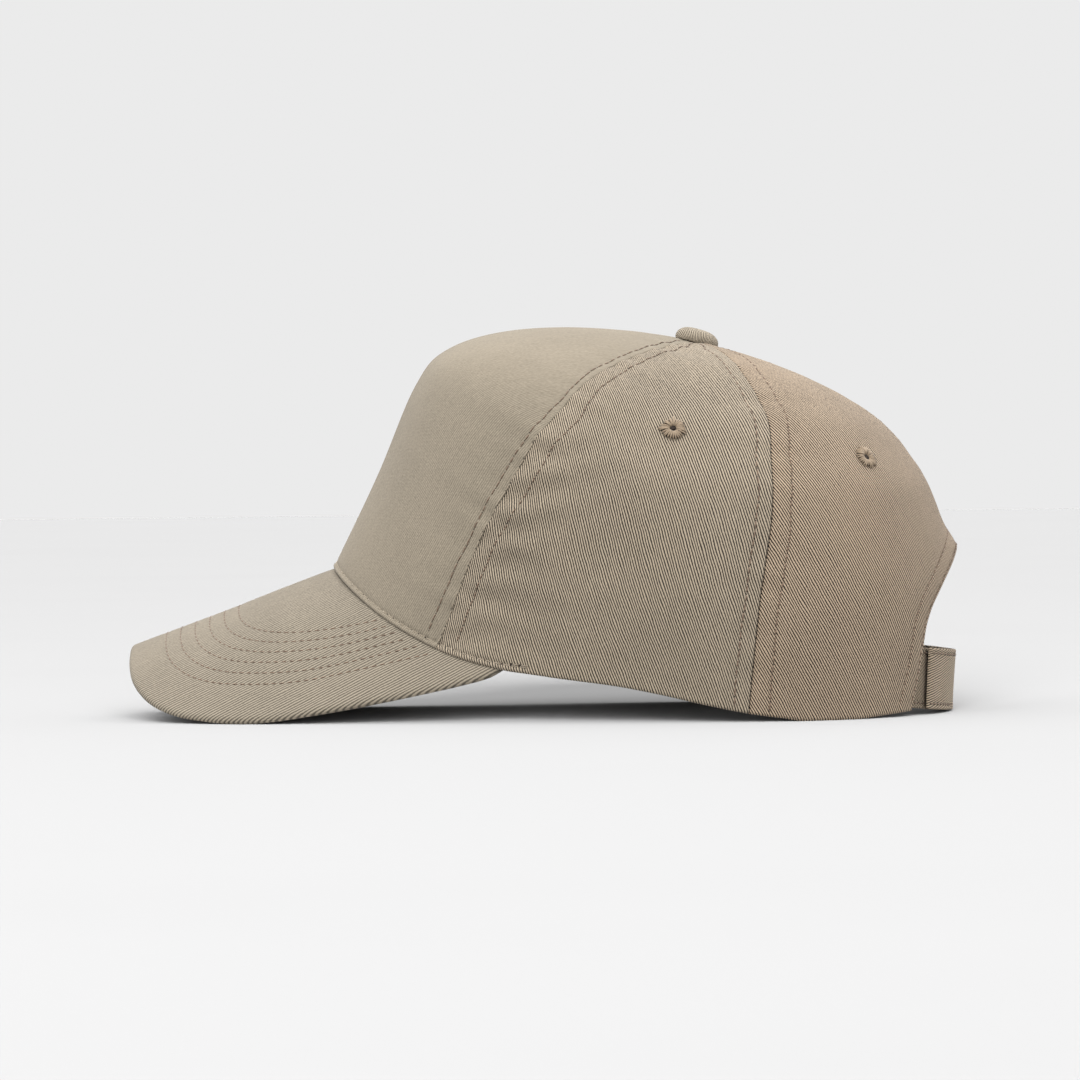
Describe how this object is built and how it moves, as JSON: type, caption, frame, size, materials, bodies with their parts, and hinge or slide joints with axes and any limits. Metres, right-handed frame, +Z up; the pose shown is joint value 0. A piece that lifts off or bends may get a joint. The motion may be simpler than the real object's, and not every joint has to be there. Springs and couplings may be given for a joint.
{
  "type": "five panel cap",
  "caption": "Cotton twill cap with one broad front panel, curved peak, covered top button, embroidered air holes and an open back with a strap",
  "frame": {"origin": "centre of the footprint of the box, on the surface that the cap rests on", "axes": "+Z up, -Y the way the peak points, +X the wearer's left"},
  "size_m": [0.164, 0.2748, 0.1285],
  "materials": {
    "front_cloth": "matt",
    "side_cloth": "matt",
    "back_cloth": "matt",
    "peak_cloth": "matt",
    "button_cloth": "matt",
    "strap_cloth": "matt",
    "thread": "matt"
  },
  "bodies": {
    "root": {"front_panel": "front_cloth", "side_panel_left": "side_cloth", "side_panel_right": "side_cloth", "back_panel_left": "back_cloth", "back_panel_right": "back_cloth", "peak": "peak_cloth", "top_button": "button_cloth", "eyelet_side_left": "thread", "eyelet_side_right": "thread", "eyelet_back_left": "thread", "eyelet_back_right": "thread", "strap_left": "strap_cloth", "strap_right": "strap_cloth"}
  },
  "joints": []
}
